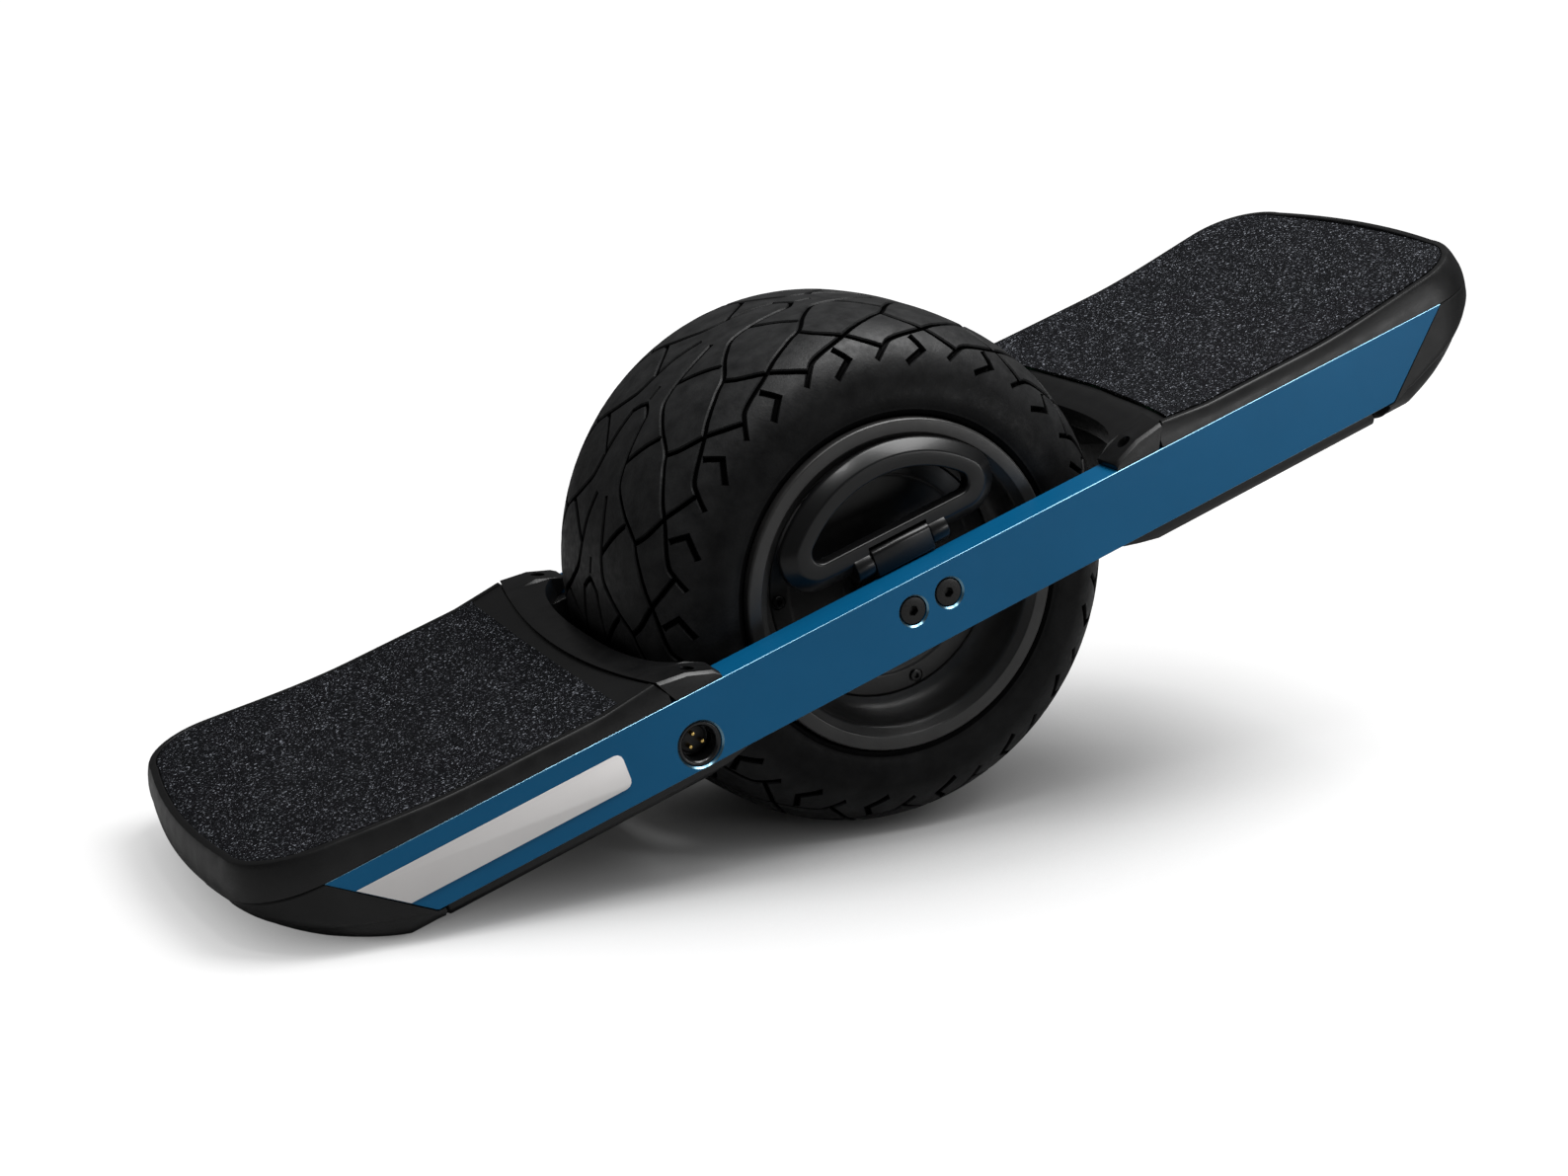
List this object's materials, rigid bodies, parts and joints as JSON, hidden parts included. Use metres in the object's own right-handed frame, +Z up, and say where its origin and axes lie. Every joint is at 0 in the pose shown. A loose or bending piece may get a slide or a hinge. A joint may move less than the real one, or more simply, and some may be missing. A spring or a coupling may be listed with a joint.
{
  "type": "one-wheeled electric skateboard",
  "caption": "Self-balancing electric board with one wide tyre round a hub motor, blue side rails, gripped footpads before and behind it, and a folding carry handle.",
  "frame": {"origin": "the point where the tyre touches the ground", "axes": "+X towards the raised front end, +Y towards the board's left side, +Z up; the board is parked with its rear end on the ground"},
  "size_m": [0.7397, 0.2368, 0.3112],
  "materials": {
    "tyre_rubber": "dull black rubber",
    "soft_rubber": "dull black rubber",
    "dark_metal": "satin dark grey",
    "bright_aluminium": "plain",
    "blue_anodised": "satin blue anodised",
    "black_metal": "black anodised",
    "bright_steel": "ground",
    "core_steel": "dark stacked sheets",
    "black_steel": "black oxide",
    "copper_wire": "enamelled copper",
    "gold_pin": "plated",
    "black_plastic": "moulded satin black",
    "bumper_plastic": "moulded satin black",
    "grip_tape": "coarse grit",
    "circuit_board": "green lacquer",
    "cell_wrap": "shrink wrap over cells",
    "silver_plate": "silver film",
    "smoked_lens": "smoked",
    "gloss_black": "half gloss black"
  },
  "bodies": {
    "chassis": {"axle": "bright_steel", "stator_core": "core_steel", "stator_windings": "copper_wire", "axle_block_right": "black_metal", "axle_block_left": "black_metal", "axle_bolt_right_front": "black_steel", "axle_bolt_right_rear": "black_steel", "axle_bolt_left_front": "black_steel", "axle_bolt_left_rear": "black_steel", "motor_lead": "soft_rubber", "lead_gland": "black_plastic", "rail_right": "blue_anodised", "rail_left": "blue_anodised", "charge_socket": "gloss_black", "port_contacts": "gold_pin", "button_collar": "gloss_black", "name_plate": "silver_plate", "controller_box": "black_plastic", "controller_box_lid": "black_plastic", "controller_board": "circuit_board", "heat_sink": "bright_aluminium", "battery_box": "black_plastic", "battery_box_lid": "black_plastic", "battery_pack": "cell_wrap", "battery_board": "circuit_board", "front_footpad": "black_plastic", "front_grip_tape": "grip_tape", "foot_sensor": "circuit_board", "front_fender": "black_plastic", "front_bumper": "bumper_plastic", "front_light_lens": "smoked_lens", "front_light_strip": "circuit_board", "rear_footpad": "black_plastic", "rear_grip_tape": "grip_tape", "rear_fender": "black_plastic", "rear_bumper": "bumper_plastic", "rear_light_lens": "smoked_lens", "rear_light_strip": "circuit_board", "fender_screw_right_front": "black_steel", "fender_screw_right_rear": "black_steel", "fender_screw_left_front": "black_steel", "fender_screw_left_rear": "black_steel", "bumper_screw_right_front": "black_steel", "bumper_screw_right_rear": "black_steel", "bumper_screw_left_front": "black_steel", "bumper_screw_left_rear": "black_steel", "handle_bracket": "gloss_black", "hinge_pin": "bright_steel"},
    "wheel": {"tyre": "tyre_rubber", "rim": "dark_metal", "hub_cover_right": "dark_metal", "hub_cover_left": "dark_metal", "magnet_ring": "bright_steel", "bearing_right": "bright_steel", "bearing_left": "bright_steel", "valve_stem": "soft_rubber"},
    "handle": {"handle_loop": "gloss_black", "handle_magnet_front": "bright_steel", "handle_magnet_rear": "bright_steel"},
    "button": {"power_button": "gloss_black"}
  },
  "joints": [
    {"name": "wheel_spin", "type": "hinge", "parent": "chassis", "child": "wheel", "pos_m": [0, 0, 0.144], "axis": [0, 1, 0], "continuous": true},
    {"name": "handle_fold", "type": "hinge", "parent": "chassis", "child": "handle", "pos_m": [-0.00641, -0.092, 0.16721], "axis": [0.9385, 0, 0.3453], "range_deg": [0, 95]},
    {"name": "power_button_press", "type": "slide", "parent": "chassis", "child": "button", "axis": [0, -1, 0], "range_m": [0, 0.001], "stiffness_N_per_m": 1500, "springref_m": -0.0005}
  ]
}
